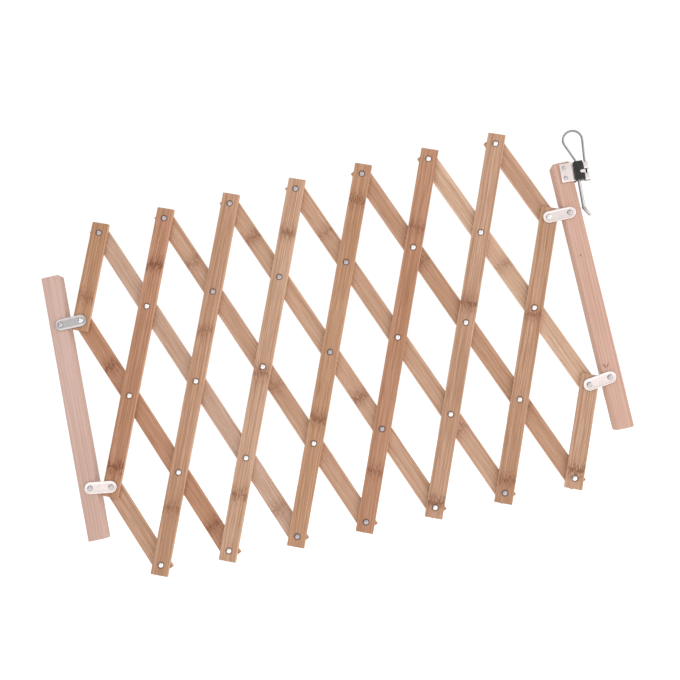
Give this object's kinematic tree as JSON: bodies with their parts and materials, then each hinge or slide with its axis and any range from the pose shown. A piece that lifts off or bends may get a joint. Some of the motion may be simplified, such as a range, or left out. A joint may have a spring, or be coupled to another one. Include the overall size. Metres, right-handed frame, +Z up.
{
  "type": "expanding lattice gate",
  "caption": "Expanding gate: riveted bamboo scissor lattice between two wooden end posts on steel straps, with a spring drop bolt lifted by a wire loop; it folds flat sideways.",
  "frame": {"origin": "middle of the left post's outer side, the face that is fixed to a wall or door frame", "axes": "+X from the left post to the right post, -Y out of the front of the gate, +Z up along the posts"},
  "size_m": [0.6592, 0.0253, 0.4268],
  "materials": {
    "bamboo": "satin carbonised bamboo",
    "post_wood": "sanded pale softwood",
    "strap_steel": "nickel-plated sheet steel",
    "rivet_steel": "nickel-plated domed heads",
    "bolt_steel": "bright plated rod and wire",
    "spring_steel": "drawn spring wire",
    "black_plastic": "moulded black plastic",
    "grey_plastic": "moulded grey plastic"
  },
  "bodies": {
    "post_left": {"post_left": "post_wood", "strap_pins_left": "rivet_steel"},
    "front_slat_1": {"front_slat_1": "bamboo", "rivets_slat_1": "rivet_steel"},
    "front_slat_2": {"front_slat_2": "bamboo", "rivets_slat_2": "rivet_steel"},
    "front_slat_3": {"front_slat_3": "bamboo", "rivets_slat_3": "rivet_steel"},
    "front_slat_4": {"front_slat_4": "bamboo", "rivets_slat_4": "rivet_steel"},
    "front_slat_5": {"front_slat_5": "bamboo", "rivets_slat_5": "rivet_steel"},
    "front_slat_6": {"front_slat_6": "bamboo", "rivets_slat_6": "rivet_steel"},
    "front_slat_7": {"front_slat_7": "bamboo", "rivets_slat_7": "rivet_steel"},
    "front_slat_8": {"front_slat_8": "bamboo", "rivets_slat_8": "rivet_steel"},
    "front_slat_9": {"front_slat_9": "bamboo", "rivets_slat_9": "rivet_steel"},
    "rear_slat_1": {"rear_slat_1": "bamboo"},
    "rear_slat_2": {"rear_slat_2": "bamboo"},
    "rear_slat_3": {"rear_slat_3": "bamboo"},
    "rear_slat_4": {"rear_slat_4": "bamboo"},
    "rear_slat_5": {"rear_slat_5": "bamboo"},
    "rear_slat_6": {"rear_slat_6": "bamboo"},
    "rear_slat_7": {"rear_slat_7": "bamboo"},
    "rear_slat_8": {"rear_slat_8": "bamboo"},
    "rear_slat_9": {"rear_slat_9": "bamboo"},
    "strap_upper_left": {"strap_upper_left": "strap_steel"},
    "strap_lower_left": {"strap_lower_left": "strap_steel", "strap_stud_left": "rivet_steel"},
    "strap_upper_right": {"strap_upper_right": "strap_steel"},
    "strap_lower_right": {"strap_lower_right": "strap_steel", "strap_stud_right": "rivet_steel"},
    "post_right": {"post_right": "post_wood", "strap_pins_right": "rivet_steel", "latch_plate": "strap_steel", "latch_plate_screws": "rivet_steel", "latch_block": "black_plastic", "latch_bush": "grey_plastic", "latch_spring": "spring_steel", "latch_keeper": "strap_steel"},
    "latch_bolt": {"latch_bolt": "bolt_steel", "latch_spring_seat": "spring_steel", "pull_loop": "bolt_steel", "loop_ferrule": "strap_steel"}
  },
  "joints": [
    {"name": "upper_left_strap_turn", "type": "hinge", "parent": "post_left", "child": "strap_upper_left", "pos_m": [0.0138, 0, 0.09751], "axis": [0, 1, 0], "range_deg": [-26.1, 19.7]},
    {"name": "rear_slat_2_turn", "type": "hinge", "parent": "strap_upper_left", "child": "rear_slat_2", "pos_m": [0.03821, 0, 0.09751], "axis": [0, 1, 0], "range_deg": [-31.7, 42.1]},
    {"name": "lattice_fold", "type": "hinge", "parent": "rear_slat_2", "child": "front_slat_4", "pos_m": [0.15846, 0, -0.20012], "axis": [0, 1, 0], "range_deg": [-32, 24]},
    {"name": "rear_slat_6_turn", "type": "hinge", "parent": "front_slat_4", "child": "rear_slat_6", "pos_m": [0.31879, 0, 0.19672], "axis": [0, 1, 0], "range_deg": [-24.5, 32.5]},
    {"name": "front_slat_8_turn", "type": "hinge", "parent": "rear_slat_6", "child": "front_slat_8", "pos_m": [0.47912, 0, -0.20012], "axis": [0, 1, 0], "range_deg": [-32.5, 24.5]},
    {"name": "upper_right_strap_turn", "type": "hinge", "parent": "front_slat_8", "child": "strap_upper_right", "pos_m": [0.59937, 0, 0.09751], "axis": [0, 1, 0], "range_deg": [-31.7, 42.1]},
    {"name": "post_right_turn", "type": "hinge", "parent": "strap_upper_right", "child": "post_right", "pos_m": [0.62378, 0, 0.09751], "axis": [0, 1, 0], "range_deg": [-26.1, 19.7]},
    {"name": "lower_right_strap_turn", "type": "hinge", "parent": "post_right", "child": "strap_lower_right", "pos_m": [0.62378, 0, -0.09751], "axis": [0, 1, 0], "range_deg": [-26.1, 19.7]},
    {"name": "lower_left_strap_turn", "type": "hinge", "parent": "post_left", "child": "strap_lower_left", "pos_m": [0.0138, 0, -0.09751], "axis": [0, 1, 0], "range_deg": [-19.7, 26.1]},
    {"name": "front_slat_1_turn", "type": "hinge", "parent": "rear_slat_2", "child": "front_slat_1", "pos_m": [0.03821, 0, 0.09751], "axis": [0, 1, 0], "range_deg": [-32.5, 24.5]},
    {"name": "front_slat_2_turn", "type": "hinge", "parent": "rear_slat_2", "child": "front_slat_2", "pos_m": [0.07829, 0, -0.0017], "axis": [0, 1, 0], "range_deg": [-32.5, 24.5]},
    {"name": "front_slat_3_turn", "type": "hinge", "parent": "rear_slat_2", "child": "front_slat_3", "pos_m": [0.11837, 0, -0.10091], "axis": [0, 1, 0], "range_deg": [-32.5, 24.5]},
    {"name": "front_slat_5_turn", "type": "hinge", "parent": "rear_slat_6", "child": "front_slat_5", "pos_m": [0.35887, 0, 0.09751], "axis": [0, 1, 0], "range_deg": [-32.5, 24.5]},
    {"name": "front_slat_6_turn", "type": "hinge", "parent": "rear_slat_6", "child": "front_slat_6", "pos_m": [0.39895, 0, -0.0017], "axis": [0, 1, 0], "range_deg": [-32.5, 24.5]},
    {"name": "front_slat_7_turn", "type": "hinge", "parent": "rear_slat_6", "child": "front_slat_7", "pos_m": [0.43904, 0, -0.10091], "axis": [0, 1, 0], "range_deg": [-32.5, 24.5]},
    {"name": "front_slat_9_turn", "type": "hinge", "parent": "rear_slat_8", "child": "front_slat_9", "pos_m": [0.59937, 0, -0.10091], "axis": [0, 1, 0], "range_deg": [-32.5, 24.5]},
    {"name": "rear_slat_1_turn", "type": "hinge", "parent": "front_slat_2", "child": "rear_slat_1", "pos_m": [0.03821, 0, -0.10091], "axis": [0, 1, 0], "range_deg": [-24.5, 32.5]},
    {"name": "rear_slat_3_turn", "type": "hinge", "parent": "front_slat_4", "child": "rear_slat_3", "pos_m": [0.19854, 0, -0.10091], "axis": [0, 1, 0], "range_deg": [-24.5, 32.5]},
    {"name": "rear_slat_4_turn", "type": "hinge", "parent": "front_slat_4", "child": "rear_slat_4", "pos_m": [0.23862, 0, -0.0017], "axis": [0, 1, 0], "range_deg": [-24.5, 32.5]},
    {"name": "rear_slat_5_turn", "type": "hinge", "parent": "front_slat_4", "child": "rear_slat_5", "pos_m": [0.2787, 0, 0.09751], "axis": [0, 1, 0], "range_deg": [-24.5, 32.5]},
    {"name": "rear_slat_7_turn", "type": "hinge", "parent": "front_slat_8", "child": "rear_slat_7", "pos_m": [0.5192, 0, -0.10091], "axis": [0, 1, 0], "range_deg": [-24.5, 32.5]},
    {"name": "rear_slat_8_turn", "type": "hinge", "parent": "front_slat_8", "child": "rear_slat_8", "pos_m": [0.55929, 0, -0.0017], "axis": [0, 1, 0], "range_deg": [-24.5, 32.5]},
    {"name": "rear_slat_9_turn", "type": "hinge", "parent": "front_slat_8", "child": "rear_slat_9", "pos_m": [0.59937, 0, 0.09751], "axis": [0, 1, 0], "range_deg": [-24.5, 32.5]},
    {"name": "latch_lift", "type": "slide", "parent": "post_right", "child": "latch_bolt", "axis": [0.0628, 0, 0.998], "range_m": [0, 0.01], "stiffness_N_per_m": 150, "springref_m": -0.01, "deforming": ["latch_spring"]}
  ],
  "couplings": [
    {"joint": "upper_left_strap_turn", "follows": "lattice_fold", "ratio": 0.8},
    {"joint": "rear_slat_2_turn", "follows": "lattice_fold", "ratio": -1.3},
    {"joint": "rear_slat_6_turn", "follows": "lattice_fold", "ratio": -1},
    {"joint": "front_slat_8_turn", "follows": "lattice_fold", "ratio": 1},
    {"joint": "upper_right_strap_turn", "follows": "lattice_fold", "ratio": -1.3},
    {"joint": "post_right_turn", "follows": "lattice_fold", "ratio": 0.8},
    {"joint": "lower_right_strap_turn", "follows": "lattice_fold", "ratio": 0.8},
    {"joint": "lower_left_strap_turn", "follows": "lattice_fold", "ratio": -0.8},
    {"joint": "front_slat_1_turn", "follows": "lattice_fold", "ratio": 1},
    {"joint": "front_slat_2_turn", "follows": "lattice_fold", "ratio": 1},
    {"joint": "front_slat_3_turn", "follows": "lattice_fold", "ratio": 1},
    {"joint": "front_slat_5_turn", "follows": "lattice_fold", "ratio": 1},
    {"joint": "front_slat_6_turn", "follows": "lattice_fold", "ratio": 1},
    {"joint": "front_slat_7_turn", "follows": "lattice_fold", "ratio": 1},
    {"joint": "front_slat_9_turn", "follows": "lattice_fold", "ratio": 1},
    {"joint": "rear_slat_1_turn", "follows": "lattice_fold", "ratio": -1},
    {"joint": "rear_slat_3_turn", "follows": "lattice_fold", "ratio": -1},
    {"joint": "rear_slat_4_turn", "follows": "lattice_fold", "ratio": -1},
    {"joint": "rear_slat_5_turn", "follows": "lattice_fold", "ratio": -1},
    {"joint": "rear_slat_7_turn", "follows": "lattice_fold", "ratio": -1},
    {"joint": "rear_slat_8_turn", "follows": "lattice_fold", "ratio": -1},
    {"joint": "rear_slat_9_turn", "follows": "lattice_fold", "ratio": -1}
  ]
}
